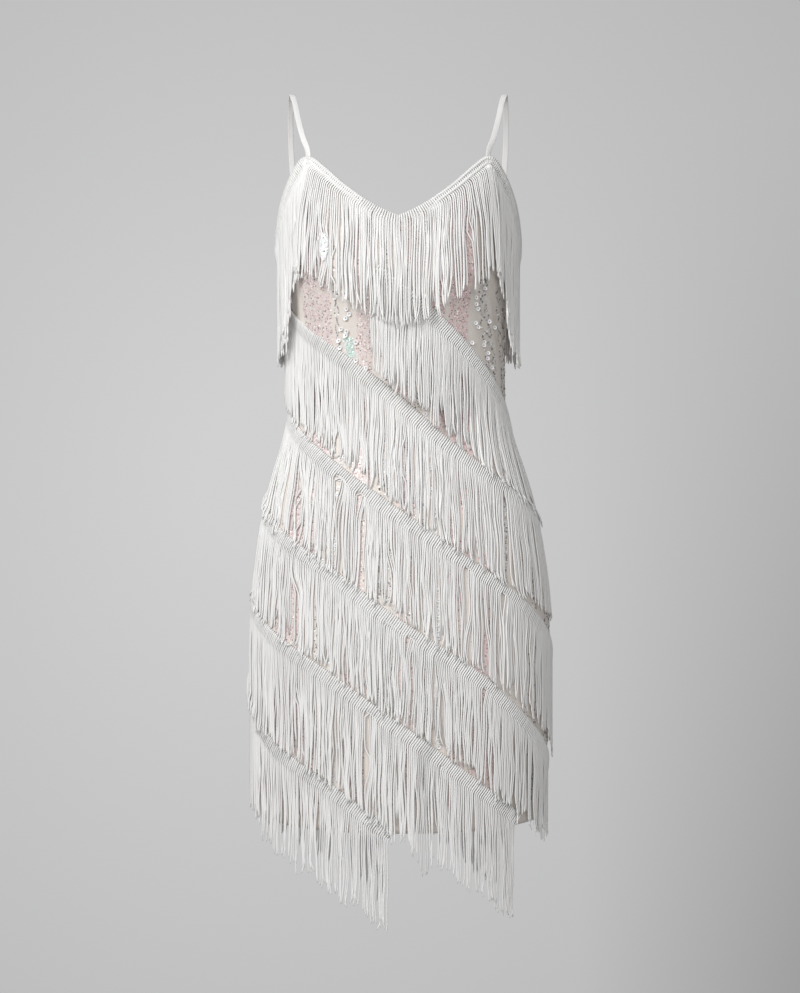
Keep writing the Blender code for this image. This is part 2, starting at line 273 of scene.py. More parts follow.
def tubes(name, paths, radii, sides, tone, flat=1.0):
    """One closed tube along each path. paths (n, m, 3), radii (n, m), tone (n,)."""
    n, m, _ = paths.shape
    ahead = np.empty_like(paths)
    ahead[:, 1:-1] = paths[:, 2:] - paths[:, :-2]
    ahead[:, 0] = paths[:, 1] - paths[:, 0]
    ahead[:, -1] = paths[:, -1] - paths[:, -2]
    ahead = unit(ahead)
    # A frame that turns as little as it can along the path.
    ref = np.zeros((n, m, 3))
    start = np.cross(ahead[:, 0], np.array((0.0, 0.0, 1.0)))
    weak = np.linalg.norm(start, axis=1) < 0.2
    start[weak] = np.cross(ahead[weak, 0], np.array((1.0, 0.0, 0.0)))
    ref[:, 0] = unit(start)
    for j in range(1, m):
        r = ref[:, j - 1] - ahead[:, j] * np.sum(ref[:, j - 1] * ahead[:, j], -1, keepdims=True)
        ref[:, j] = unit(r)
    other = np.cross(ahead, ref)
    turn = np.arange(sides) * 2 * np.pi / sides
    ring = (
        ref[:, :, None, :] * np.cos(turn)[None, None, :, None]
        + other[:, :, None, :] * np.sin(turn)[None, None, :, None] * flat
    )
    verts = paths[:, :, None, :] + ring * radii[:, :, None, None]
    base = (np.arange(n) * m * sides)[:, None, None]
    row = (np.arange(m - 1) * sides)[None, :, None]
    k = np.arange(sides)[None, None, :]
    k1 = (k + 1) % sides
    quads = np.stack([base + row + k, base + row + k1, base + row + sides + k1, base + row + sides + k], -1).reshape(-1, 4)
    first = (np.arange(n) * m * sides)[:, None] + np.arange(sides)[::-1][None]
    last = (np.arange(n) * m * sides + (m - 1) * sides)[:, None] + np.arange(sides)[None]
    # UVs: u round the cord, v its length in cord widths.
    run = np.concatenate([np.zeros((n, 1)), np.cumsum(np.linalg.norm(np.diff(paths, axis=1), axis=2), 1)], 1)
    v0 = np.broadcast_to(run[:, :-1, None], (n, m - 1, sides))
    v1 = np.broadcast_to(run[:, 1:, None], (n, m - 1, sides))
    u0 = np.broadcast_to((np.arange(sides) / sides)[None, None, :], (n, m - 1, sides))
    u1 = u0 + 1.0 / sides
    uv = np.stack([np.stack([u0, v0], -1), np.stack([u1, v0], -1), np.stack([u1, v1], -1), np.stack([u0, v1], -1)], -2)
    uv = np.concatenate([(uv * np.array((1.0, 100.0))).reshape(-1, 2), np.zeros((2 * n * sides, 2))])
    tones = np.repeat(tone, m * sides, axis=0)
    return mesh_object(name, verts.reshape(-1, 3), [quads, first, last], uv, tones)


# ------------------------------------------------------------------ trims
def trim_z(heights):
    return lambda angle: smooth(angle, TRIM_ANGLES, np.array(heights))


def tier_at(name):
    return next(t for t in TRIMS if t[0] == name)


def under_trims(own, side, angle, z):
    """How far the cords of one trim are held off the cloth by the trims below it."""
    lift = np.zeros_like(z)
    names = [t[0] for t in TRIMS]
    start = 0 if own == "top" else names.index(own) + 1
    for name, first, last, length, heights in TRIMS[start:]:
        gap = trim_z(heights)(angle) - z  # below this trim's top edge
        on = np.clip(gap / 0.004 + 0.8, 0, 1) * np.clip((length - gap) / 0.004, 0, 1)
        on *= np.clip((angle - first) / 1.5 + 1, 0, 1) * np.clip((last - angle) / 1.5 + 1, 0, 1)
        lift = np.maximum(lift, on * 2.9 * MM)
    return lift


def trim_line(side, height, first, last):
    angle = np.linspace(first, last, 900)
    points = form(side, angle, height(angle))
    run = np.concatenate([[0], np.cumsum(np.linalg.norm(np.diff(points, axis=0), axis=1))])
    return angle, points, run


def down_across(side, angle, z, points, height):
    """The direction square to a trim, down the cloth."""
    low, high = np.clip(angle - 0.5, -90, 90), np.clip(angle + 0.5, -90, 90)
    along = unit(form(side, high, height(high)) - form(side, low, height(low)))
    level, rate, down, normal = frames(side, angle, z)
    across = np.cross(along, normal)
    across *= -np.sign(across[..., 2:3])
    return unit(across), level, rate, normal


def lay_cords(own, side, height, width, first, last, length, under=False):
    """Paths of a trim's cords: over the header band, round its lower edge and down.

    The under layer starts below the band and lies close to the cloth.
    """
    angle_line, _, run = trim_line(side, height, first, last)
    count = int((run[-1] - 0.6 * MM) / PITCH)
    at = (np.arange(count) + (0.0 if under else 0.5)) * run[-1] / count + RNG.normal(0, 0.10 * MM, count)
    at = np.clip(at, 0.4 * MM, run[-1] - 0.4 * MM)
    angle = np.interp(at, run, angle_line)
    z = height(angle)
    across, level, rate, normal = down_across(side, angle, z, None, height)
    # straight down at the side seams and at the bottom of the V
    share = np.clip((90.0 - np.abs(angle)) / 9.0, 0.05, 1)
    if own == "top" and side == "front":
        share = share * np.clip(np.abs(angle) / 10.0, 0.05, 1)
    across = unit(across - level * np.sum(across * level, -1, keepdims=True) * (1 - share)[:, None])
    wide = width(angle)
    hem = hem_z(angle)
    n = count
    path = []
    # over the header
    slide = np.sum(across * level, -1)
    steps = ((-0.10, 0.9), (0.02, 2.1), (0.25, 2.5), (0.60, 2.5), (0.92, 2.3))
    if under:
        steps = ((0.55, 1.1), (0.92, 1.1))
    reach = np.clip((np.abs(angle) - 48.0) / 6.0, 0, 1) if own == "top" and side == "front" else np.zeros(n)
    for t, lift in steps:
        if t < 0.1 and not under:  # the cords loop over the armholes' edges
            t, lift = t - 0.22 * reach, lift + 0.7 * reach
        else:
            t, lift = np.full(n, t), np.full(n, lift)
        a = np.clip(angle + slide * wide * t / rate, -90, 90)
        zz = z + across[:, 2] * wide * t
        path.append(form(side, a, zz) + frames(side, a, zz)[3] * (lift * MM)[:, None])
    # the free length, in steps that grow away from the bend
    hang = (length - 0.92 * wide) * (0.90 if under else 1.0) + RNG.normal(0, 2.2 * MM, n) * np.where(z < -0.6, 1.5, 1.0)
    if own == "top" and side == "front":  # the curtains under the arms hang lower
        rise = np.clip((np.abs(angle) - 62.0) / 12.0, 0, 1)
        hang = hang + 0.024 * rise * rise * (3 - 2 * rise) - 0.020 * np.clip((np.abs(angle) - 80.0) / 10.0, 0, 1)
    # A few cords of the fifth trim on the front hang 18 mm longer and are toned to 0.86: painted shade.
    shaded_cords = np.zeros(n, bool)
    if own == "tier5" and side == "front":
        shaded_cords = (path[0][:, 0] > 0.031) & (path[0][:, 0] < 0.044)
        hang = hang + np.where(shaded_cords, 0.018, 0.0)
    if own == "tier4":  # shorter where the fourth trim meets the side seam low down
        hang = hang - 0.039 * np.clip((angle - 74.0) / 16.0, 0, 1) ** 1.2
    if under:
        hang = np.minimum(hang, np.maximum(path[-1][:, 2] - hem - 0.003, 0.004))
    # cords gather in small clumps, and some wander across their neighbours
    sizes = []
    while sum(sizes) < n:
        sizes.append(int(RNG.integers(2, 7)))
    clump = np.repeat(np.arange(len(sizes)), sizes)[:n]
    spot = at * np.abs(level[:, 0] * 0 + 1)
    centre = np.array([spot[clump == c].mean() if (clump == c).any() else 0 for c in range(len(sizes))])
    slope = np.abs(np.sum(unit(np.gradient(path[1], axis=0)) * level, -1))
    pull = RNG.uniform(0.0, 0.50, len(sizes))[clump] * (0.5 if under else 1.0)
    if own == "top":
        pull = pull * (1 - 0.65 * np.clip((np.abs(angle) - 44.0) / 6.0, 0, 1))
    gather = (centre[clump] - spot) * pull * slope
    loose = 1.0 + 0.5 * np.clip((-0.66 - z) / 0.12, 0, 1)
    gather = gather * loose
    hang = hang + RNG.normal(0, 2.2 * MM, len(sizes))[clump]
    stray = RNG.random(n) < 0.06
    hang = hang + np.where(stray, RNG.uniform(-8, 5, n) * MM, 0)
    amp = RNG.uniform(0.2, 1.1, len(sizes))[clump] * MM + RNG.uniform(0, 0.5, n) * MM
    phase = RNG.uniform(0, 2 * np.pi, len(sizes))[clump] + RNG.normal(0, 0.35, n)
    waves = RNG.uniform(0.8, 1.9, len(sizes))[clump]
    lean = RNG.normal(0, 0.010, len(sizes))[clump] + RNG.normal(0, 0.006, n) + np.where(stray, RNG.normal(0, 0.03, n), 0)
    rest = (np.full(n, 1.0) if under else RNG.uniform(1.3, 3.0, n)) * MM  # off the cloth
    fan = fan_out(own, side, angle)
    curl = RNG.normal(0, 1.0, n) * MM + np.where(RNG.random(n) < 0.30, RNG.normal(0, 2.2, n) * MM, 0)
    curl_out = np.abs(RNG.normal(0, 0.8, n)) * MM
    calm = 1.0 - 0.75 * np.clip((-52.0 - angle) / 12.0, 0, 1) * (own != "top")  # smooth round the wearer's right side
    curl, curl_out = curl * calm, curl_out * calm
    shares = UNDER_SHARES if under else np.array((0.0, 0.015, 0.032, 0.054, 0.085, 0.13, 0.19, 0.27, 0.36, 0.45, 0.54, 0.63, 0.72, 0.80, 0.87, 0.93, 0.97, 1.0))
    point = path[-1].copy()
    before = 0.0 * gather
    plumb = np.array((0.0, 0.0, -1.0))
    bend = 7.0 * MM
    for j in range(1, len(shares)):
        t0, t1 = shares[j - 1], shares[j]
        step = (t1 - t0) * hang
        s = 0.5 * (t0 + t1) * hang
        turned = np.clip(s / bend, 0, 1)
        turned = (turned * turned * (3 - 2 * turned))[:, None]
        way = unit(across * (1 - turned) + plumb * turned)
        point = point + way * step[:, None]
        ease = t1**1.15
        drift = gather * ease + amp * (np.sin(phase + 2 * np.pi * waves * t1) - np.sin(phase)) * min(1.0, t1 * 3) + lean * t1 * hang + fan * hang * (t1 - 0.42 * t1 * t1)
        a = np.clip(angle_of(side, point), -90, 90)
        tangent = frames(side, a, point[:, 2])[0]
        tip = max(0.0, (t1 - 0.84) / 0.16) ** 2
        point = point + tangent * (drift - before + 0.0)[:, None]
        before = drift
        # pushed out by the cloth and by what lies on it
        for _ in range(2):
            a = np.clip(angle_of(side, point), -90, 90)
            zz = np.maximum(point[:, 2], hem_z(a))
            out = level_out(side, a, zz)
            skin = form(side, a, zz)
            off = np.sum((point - skin)[:, :2] * out[:, :2], -1)
            ramp = np.clip(s / 0.02, 0, 1)
            need = rest * ramp + (1.1 if under else 2.2) * MM * (1 - ramp) + under_trims(own, side, a, point[:, 2])
            free = point[:, 2] < hem - 0.004
            short = np.where(free, 0.0, np.maximum(need - off, 0.0))
            point = point + out * short[:, None]
        shown = point if under else part_cords(side, point, tangent, path[0])
        shown = shown + tangent * (curl * tip)[:, None] + out * (curl_out * tip)[:, None]
        path.append(shown)
    path = np.stack(path, 1)
    radius = np.full(path.shape[:2], CORD_RADIUS) * RNG.uniform(0.93, 1.07, (n, 1))
    if not under:
        radius[:, :5] *= 1.22
        radius[:, 5] *= 1.1
    armhole = (np.abs(angle) > 52.0) & (own == "top")
    radius[:, 0] *= np.where(armhole, 0.95, 0.55)
    radius[:, -1] *= 0.55
    # Painted shade: those longer fifth-trim cords are darkened to 0.86 of their tone.
    tone = RNG.uniform(0.93, 1.0, n) * np.where(shaded_cords, 0.86, 1.0)
    free = path[:, :, 2] < hem[:, None] - 0.002
    radius = radius * np.where(free, 0.80, 1.0)
    if under:
        # fewer of them toward the wearer's left and low down
        full = (0.98 if own == "top" else 0.94) - 0.28 * np.clip((path[:, 0, 0] + 0.05) / 0.15, 0, 1) - 0.30 * np.clip((-0.45 - path[:, 0, 2]) / 0.25, 0, 1)
        keep = clear_of_partings(side, path) & (RNG.random(n) < full)
        path, radius, tone = path[keep], radius[keep], tone[keep]
    return path, radius, tone


# Where the cords part and the sequins show between them: x, top, bottom, half width.
PARTINGS = (
    (0.0100, -0.3950, -0.4750, 0.0024),
    (-0.0622, -0.3960, -0.4560, 0.0040),
    (-0.0390, -0.4110, -0.4680, 0.0030),
    (-0.1066, -0.4400, -0.5020, 0.0036),
    (-0.1128, -0.5620, -0.6260, 0.0056),
    (-0.0808, -0.1680, -0.2060, 0.0044),
    (-0.0678, -0.1780, -0.2380, 0.0030),
    (0.0750, -0.1560, -0.2480, 0.0034),
    (-0.0069, -0.5330, -0.5920, 0.0038),
    (0.0153, -0.5640, -0.6230, 0.0030),
    (0.1205, -0.4670, -0.5800, 0.0034),
    (0.1006, -0.6200, -0.6800, 0.0036),
    (0.0795, -0.5330, -0.6000, 0.0028),
    (-0.1094, -0.6860, -0.7560, 0.0030),
    (0.0518, -0.6860, -0.7560, 0.0030),
    (-0.0300, -0.7000, -0.7700, 0.0030),
)


def partings(side):
    return [((x if side == "front" else -x), top, bottom, half) for x, top, bottom, half in PARTINGS]


def part_cords(side, points, level, start):
    """Cords near a parting are drawn aside from its middle."""
    moved = points.copy()
    for x, top, bottom, half in partings(side):
        half = 0.72 * half
        swell = np.clip((top + 0.016 - points[:, 2]) / 0.030, 0, 1) * np.clip((points[:, 2] - bottom + 0.022) / 0.032, 0, 1)
        swell = swell * swell * (3 - 2 * swell)
        home = np.where(start[:, 0] < x, -1.0, 1.0)
        off = (points[:, 0] - x) * home
        reach = 3.0 * half
        new = half * swell + np.maximum(off, 0.0) * (1 - half * swell / reach)
        near = (np.abs(off) < reach) & (np.abs(start[:, 0] - x) < 0.03)
        shift = np.where(near, home * (new - np.maximum(off, -half * swell)), 0.0)
        moved = moved + level * (shift / np.maximum(np.abs(level[:, 0]), 0.35) * np.sign(level[:, 0]))[:, None]
    return moved


def clear_of_partings(side, path):
    keep = np.ones(len(path), bool)
    for x, top, bottom, half in partings(side):
        near = (np.abs(path[:, :, 0] - x) < 1.2 * half) & (path[:, :, 2] < top + 0.004) & (path[:, :, 2] > bottom)
        keep &= ~near.any(1)
    return keep


UNDER_SHARES = np.array((0.0, 0.03, 0.08, 0.18, 0.32, 0.48, 0.66, 0.84, 1.0))


def fan_out(own, side, angle):
    """Under the strap ends the neck trim's cords lean outward over the bust."""
    if own != "top" or side != "front":
        return np.zeros_like(angle)
    size = np.abs(angle)
    share = np.clip((size - 20.0) / 22.0, 0, 1) * np.clip((60.0 - size) / 9.0, 0, 1)
    low = np.clip((size - 67.0) / 10.0, 0, 1) * RNG.uniform(0.0, 1.0, len(size)) ** 0.8
    return np.sign(angle) * (0.20 * share * share * (3 - 2 * share) - 0.19 * low)


def band_strip(name, side, height, width, first, last, lift, thick, inset, cols_per=1.6):
    """The tape under a header's cords, a thin closed strip along the trim."""
    line_angle, _, run = trim_line(side, height, first, last)
    cols = max(12, int(run[-1] / (cols_per * 2 * MM)))
    angle = np.interp(np.linspace(0, run[-1], cols), run, line_angle)
    z = height(angle)
    across, level, rate, _ = down_across(side, angle, z, None, height)
    wide = width(angle)
    slide = np.sum(across * level, -1)
    skins = []
    for up in (lift + thick, lift):
        rows = []
        for t in np.linspace(inset, 1 - inset, 4):
            a = np.clip(angle + slide * wide * t / rate, -90, 90)
            zz = z + across[:, 2] * wide * t
            rows.append(form(side, a, zz) + frames(side, a, zz)[3] * up)
        skins.append(np.stack(rows))
    return closed_grid(name, skins[0], skins[1])


def edge_rows(name, side, height, width, spans):
    """Rows of cord that run along a header, side by side."""
    paths, sizes = [], []
    for first, last, places in spans:
        count = 180 if side == "front" else 740
        angle = np.linspace(first, last, count)
        z = height(angle)
        across, level, rate, _ = down_across(side, angle, z, None, height)
        wide = width(angle)
        slide = np.sum(across * level, -1)
        ends = np.clip(np.minimum(np.arange(count), count - 1 - np.arange(count)) / 12.0, 0, 1)
        for t in places:
            a = np.clip(angle + slide * wide * t / rate, -90, 90)
            zz = z + across[:, 2] * wide * t
            line = form(side, a, zz) + frames(side, a, zz)[3] * (1.0 + 0.9 * ends)[:, None] * MM
            run = np.concatenate([[0], np.cumsum(np.linalg.norm(np.diff(line, axis=0), axis=1))])
            paths.append(line)
            sizes.append((1.95 if side == "front" else 1.6) * MM * (0.35 + 0.65 * ends) * (1 + 0.24 * np.sin(2 * np.pi * run / PITCH)))
    # The rows are toned 0.88, below the cords, as painted shade that tempers the strong light on the neck edge.
    return tubes(name, np.stack(paths), np.stack(sizes), 8, np.full(len(paths), 0.88))


def closed_grid(name, outer, inner, uv_scale=None, tone=None):
    """A closed wall between two (rows, cols, 3) grids of points."""
    rows, cols = outer.shape[:2]
    n = rows * cols
    index = np.arange(n).reshape(rows, cols)
    front = np.stack([index[:-1, :-1], index[1:, :-1], index[1:, 1:], index[:-1, 1:]], -1).reshape(-1, 4)
    back = (front + n)[:, ::-1]
    rim = np.concatenate([index[0, :], index[1:, -1], index[-1, -2::-1], index[-2:0:-1, 0]])
    nxt = np.roll(rim, -1)
    edge = np.stack([rim, nxt, nxt + n, rim + n], -1)
    verts = np.concatenate([outer.reshape(-1, 3), inner.reshape(-1, 3)])
    # Faces turn outward: tested on the middle of the outer grid.
    r, c = rows // 2 - 1, cols // 2
    p = outer[r, c]
    normal = np.cross(outer[r + 1, c] - p, outer[r, c + 1] - p) if c + 1 < cols else np.zeros(3)
    faces = [front, back, edge]
    if normal @ (p - inner[r, c]) < 0:
        faces = [f[:, ::-1] for f in faces]
    return mesh_object(name, verts, faces, tone=tone)


# ------------------------------------------------------------------ materials
def nodes_of(name):
    mat = bpy.data.materials.new(name)
    mat.use_nodes = True
    tree = mat.node_tree
    return mat, tree, tree.nodes["Principled BSDF"]


def link(tree, a, b):
    tree.links.new(a, b)


def node(tree, kind, **values):
    made = tree.nodes.new(kind)
    for key, value in values.items():
        if key.startswith("in_"):
            made.inputs[key[3:].replace("_", " ")].default_value = value
        else:
            setattr(made, key, value)
    return made


def cord_material():
    mat, tree, bsdf = nodes_of("twisted_cord")
    tone = node(tree, "ShaderNodeVertexColor", layer_name="tone")
    mix = node(tree, "ShaderNodeMix", data_type="RGBA", blend_type="MULTIPLY")
    mix.inputs["Factor"].default_value = 1.0
    mix.inputs["A"].default_value = (0.90, 0.894, 0.88, 1)
    link(tree, tone.outputs["Color"], mix.inputs["B"])
    link(tree, mix.outputs["Result"], bsdf.inputs["Base Color"])
    uv = node(tree, "ShaderNodeUVMap", uv_map="UVMap")
    wave = node(tree, "ShaderNodeTexWave", wave_type="BANDS", bands_direction="DIAGONAL", in_Scale=2.2, in_Distortion=0.4)
    link(tree, uv.outputs["UV"], wave.inputs["Vector"])
    bump = node(tree, "ShaderNodeBump", in_Strength=0.35, in_Distance=0.00025)
    link(tree, wave.outputs["Fac"], bump.inputs["Height"])
    link(tree, bump.outputs["Normal"], bsdf.inputs["Normal"])
    bsdf.inputs["Roughness"].default_value = 0.48
    bsdf.inputs["Sheen Weight"].default_value = 0.25
    bsdf.inputs["Sheen Roughness"].default_value = 0.4
    bsdf.inputs["Specular IOR Level"].default_value = 0.4
    return mat


def tape_material():
    mat, tree, bsdf = nodes_of("header_tape")
    coord = node(tree, "ShaderNodeTexCoord")
    noise = node(tree, "ShaderNodeTexNoise", in_Scale=900.0, in_Detail=2.0)
    link(tree, coord.outputs["Object"], noise.inputs["Vector"])
    ramp = node(tree, "ShaderNodeValToRGB")
    # The tape is greyer than the cords laid over it: painted shade in the grooves between the header's cords.
    ramp.color_ramp.elements[0].color = (0.60, 0.59, 0.575, 1)
    ramp.color_ramp.elements[1].color = (0.80, 0.79, 0.775, 1)
    link(tree, noise.outputs["Fac"], ramp.inputs["Fac"])
    link(tree, ramp.outputs["Color"], bsdf.inputs["Base Color"])
    bump = node(tree, "ShaderNodeBump", in_Strength=0.5, in_Distance=0.0003)
    link(tree, noise.outputs["Fac"], bump.inputs["Height"])
    link(tree, bump.outputs["Normal"], bsdf.inputs["Normal"])
    bsdf.inputs["Roughness"].default_value = 0.7
    return mat


def mesh_cloth_material():
    """Nude stretch mesh: a fine square net over a matt ground, with a soft sheen."""
    mat, tree, bsdf = nodes_of("nude_mesh")
    coord = node(tree, "ShaderNodeTexCoord")
    soft = node(tree, "ShaderNodeTexNoise", in_Scale=14.0, in_Detail=3.0)
    link(tree, coord.outputs["Object"], soft.inputs["Vector"])
    ramp = node(tree, "ShaderNodeValToRGB")
    ramp.color_ramp.elements[0].position = 0.3
    ramp.color_ramp.elements[0].color = (0.845, 0.783, 0.728, 1)
    ramp.color_ramp.elements[1].position = 0.7
    ramp.color_ramp.elements[1].color = (0.905, 0.853, 0.803, 1)
    link(tree, soft.outputs["Fac"], ramp.inputs["Fac"])
    knit = node(tree, "ShaderNodeTexVoronoi", in_Scale=1100.0)
    link(tree, coord.outputs["Object"], knit.inputs["Vector"])
    dots = node(tree, "ShaderNodeValToRGB")
    dots.color_ramp.elements[0].color = (1, 1, 1, 1)
    dots.color_ramp.elements[1].color = (0.80, 0.78, 0.76, 1)
    link(tree, knit.outputs["Distance"], dots.inputs["Fac"])
    mix = node(tree, "ShaderNodeMix", data_type="RGBA", blend_type="MULTIPLY")
    mix.inputs["Factor"].default_value = 1.0
    link(tree, ramp.outputs["Color"], mix.inputs["A"])
    link(tree, dots.outputs["Color"], mix.inputs["B"])
    link(tree, mix.outputs["Result"], bsdf.inputs["Base Color"])
    bump = node(tree, "ShaderNodeBump", in_Strength=0.4, in_Distance=0.0003)
    link(tree, knit.outputs["Distance"], bump.inputs["Height"])
    link(tree, bump.outputs["Normal"], bsdf.inputs["Normal"])
    bsdf.inputs["Roughness"].default_value = 0.6
    bsdf.inputs["Sheen Weight"].default_value = 0.2
    return mat


def sequin_material(name, metallic, rough):
    """Sequins: the colour of each is on its own points."""
    mat, tree, bsdf = nodes_of(name)
    tone = node(tree, "ShaderNodeVertexColor", layer_name="tone")
    coord = node(tree, "ShaderNodeTexCoord")
    noise = node(tree, "ShaderNodeTexNoise", in_Scale=260.0, in_Detail=1.0)
    link(tree, coord.outputs["Object"], noise.inputs["Vector"])
    shift = node(tree, "ShaderNodeValToRGB")
    shift.color_ramp.elements[0].position = 0.35
    shift.color_ramp.elements[0].color = (1.0, 0.96, 1.0, 1)
    shift.color_ramp.elements[1].position = 0.65
    shift.color_ramp.elements[1].color = (0.95, 1.0, 0.97, 1)
    link(tree, noise.outputs["Fac"], shift.inputs["Fac"])
    mix = node(tree, "ShaderNodeMix", data_type="RGBA", blend_type="MULTIPLY")
    mix.inputs["Factor"].default_value = 1.0
    link(tree, tone.outputs["Color"], mix.inputs["A"])
    link(tree, shift.outputs["Color"], mix.inputs["B"])
    link(tree, mix.outputs["Result"], bsdf.inputs["Base Color"])
    bsdf.inputs["Metallic"].default_value = metallic
    bsdf.inputs["Roughness"].default_value = rough
    bsdf.inputs["Coat Weight"].default_value = 0.3
    bsdf.inputs["Coat Roughness"].default_value = 0.2
    return mat


def strap_material():
    mat, tree, bsdf = nodes_of("strap_elastic")
    uv = node(tree, "ShaderNodeUVMap", uv_map="UVMap")
    wave = node(tree, "ShaderNodeTexWave", wave_type="BANDS", bands_direction="Y", in_Scale=0.9, in_Distortion=0.3)
    link(tree, uv.outputs["UV"], wave.inputs["Vector"])
    ramp = node(tree, "ShaderNodeValToRGB")
    ramp.color_ramp.elements[0].color = (0.80, 0.79, 0.775, 1)
    ramp.color_ramp.elements[1].color = (0.88, 0.875, 0.865, 1)
    link(tree, wave.outputs["Fac"], ramp.inputs["Fac"])
    link(tree, ramp.outputs["Color"], bsdf.inputs["Base Color"])
    bump = node(tree, "ShaderNodeBump", in_Strength=0.4, in_Distance=0.0002)
    link(tree, wave.outputs["Fac"], bump.inputs["Height"])
    link(tree, bump.outputs["Normal"], bsdf.inputs["Normal"])
    bsdf.inputs["Roughness"].default_value = 0.38
    bsdf.inputs["Sheen Weight"].default_value = 0.2
    return mat


CORD = cord_material()
TAPE = tape_material()
MESH = mesh_cloth_material()
PINK = sequin_material("tiny_sequins", 0.20, 0.42)
RING = sequin_material("ring_sequins", 0.0, 0.30)
STRAP = strap_material()


def dress(obj, mat, slot, *nodes):
    obj.data.materials.append(mat)
    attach(obj, "root")
    if nodes:
        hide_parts(*nodes)
    return obj


# ------------------------------------------------------------------ panels
CLOTH = 0.0009
# Soft creases: angle and height at each end, width and depth in mm.
CREASES = {
    "front": (
        (52, -0.235, 72, -0.345, 5.0, 1.3),
        (58, -0.245, 80, -0.335, 4.0, -1.0),
        (40, -0.262, 66, -0.365, 5.0, 0.9),
        (70, -0.215, 84, -0.300, 4.5, 1.1),
        (-50, -0.225, -74, -0.320, 5.0, 1.0),
        (-62, -0.235, -84, -0.312, 4.0, -0.8),
        (-26, -0.262, -38, -0.330, 6.0, 0.7),
        (10, -0.330, 46, -0.372, 5.0, 0.6),
    ),
    "back": (
        (-55, -0.235, -74, -0.340, 5.0, 1.2),
        (-38, -0.262, -64, -0.360, 5.0, 0.8),
        (50, -0.240, 70, -0.330, 5.5, 1.0),
        (64, -0.225, 82, -0.305, 4.0, -0.9),
        (-20, -0.345, 24, -0.352, 5.0, 0.8),
        (-34, -0.362, 30, -0.372, 6.0, -0.7),
    ),
}


def crease_lift(side, angle, z, points):
    lift = np.zeros(points.shape[:-1])
    for a0, z0, a1, z1, wide, deep in CREASES[side]:
        p0, p1 = form(side, a0, z0), form(side, a1, z1)
        axis = p1 - p0
        t = np.clip(((points - p0) @ axis) / (axis @ axis), 0, 1)
        near = p0 + t[..., None] * axis
        gap = np.linalg.norm(points - near, axis=-1)
        lift += deep * MM * np.exp(-((gap / (wide * MM)) ** 2)) * np.sin(np.pi * np.clip(t, 0.02, 0.98)) ** 0.7
    return lift


def panel(side):
    cols, rows = 112, 100
    angle = np.linspace(-90, 90, cols)
    outer = np.empty((rows, cols, 3))
    share = np.linspace(0, 1, rows) ** 1.0
    top, bottom = edge_z(side, angle), hem_z(angle)
    z = top[None] + (bottom - top)[None] * share[:, None]
    a = np.broadcast_to(angle[None], z.shape)
    outer = form(side, a, z)
    normal = frames(side, a, z)[3]
    skin = outer + normal * crease_lift(side, a, z, outer)[..., None]
    shift = np.array((0.0, -0.00015 if side == "front" else 0.00015, 0.0))
    normal[:, 0, 1] = normal[:, -1, 1] = 0.0
    return closed_grid(f"{side}_panel", skin + shift, skin - normal * CLOTH + shift)


def discs(points, level, down, normal, radius, tilt, sides, tone):
    """Small flat sequins, each tipped a little its own way."""
    n = len(points)
    ta, tb = RNG.normal(0, tilt, n)[:, None], RNG.normal(0, tilt, n)[:, None]
    e1 = unit(level + normal * ta)
    e2 = unit(np.cross(unit(np.cross(level, down)) + 0 * e1, e1) * 1.0 + normal * tb)
    spin = RNG.uniform(0, 2 * np.pi, n)
    turn = spin[:, None] + np.arange(sides)[None] * 2 * np.pi / sides
    ring = points[:, None] + radius[:, None, None] * (
        e1[:, None] * np.cos(turn)[..., None] + e2[:, None] * np.sin(turn)[..., None]
    )
    faces = np.arange(n * sides).reshape(n, sides)
    cross = np.cross(ring[:, 1] - ring[:, 0], ring[:, 2] - ring[:, 0])
    back = np.sum(cross * normal, -1) < 0
    faces[back] = faces[back][:, ::-1]
    return ring.reshape(-1, 3), faces, np.repeat(tone, sides, axis=0)


def rings(points, level, down, normal, radius, hole, tilt, tone, sides=12):
    """Ring sequins with a centre hole, slightly cupped."""
    n = len(points)
    ta, tb = RNG.normal(0, tilt, n)[:, None], RNG.normal(tilt * 0.8, tilt, n)[:, None]
    e1 = unit(level + normal * ta)
    e2 = unit(down + normal * tb)
    face = unit(np.cross(e2, e1))
    face *= np.sign(np.sum(face * normal, -1, keepdims=True))
    turn = np.arange(sides) * 2 * np.pi / sides
    around = e1[:, None] * np.cos(turn)[None, :, None] + e2[:, None] * np.sin(turn)[None, :, None]
    loops = []
    for r, up in ((hole, -0.12), (0.45, -0.05), (1.0, 0.16)):
        rr = radius * r if r != hole else hole * np.ones(n)
        loops.append(points[:, None] + around * rr[:, None, None] + face[:, None] * up * MM)
    verts = np.stack(loops, 1)
    base = (np.arange(n) * 3 * sides)[:, None, None]
    row = (np.arange(2) * sides)[None, :, None]
    k = np.arange(sides)[None, None]
    k1 = (k + 1) % sides
    quads = np.stack([base + row + k, base + row + k1, base + row + sides + k1, base + row + sides + k], -1).reshape(-1, 4)
    v = verts.reshape(-1, 3)
    cross = np.cross(v[quads[:, 1]] - v[quads[:, 0]], v[quads[:, 2]] - v[quads[:, 0]])
    owner = quads[:, 0] // (3 * sides)
    flip = np.sum(cross * normal[owner], -1) < 0
    quads[flip] = quads[flip][:, ::-1]
    shade = np.repeat(np.array((0.30, 0.86, 1.0)), sides)[None, :, None]  # the hole and its rim are in shade
    return v, quads, (tone[:, None] * shade).reshape(-1, 3)


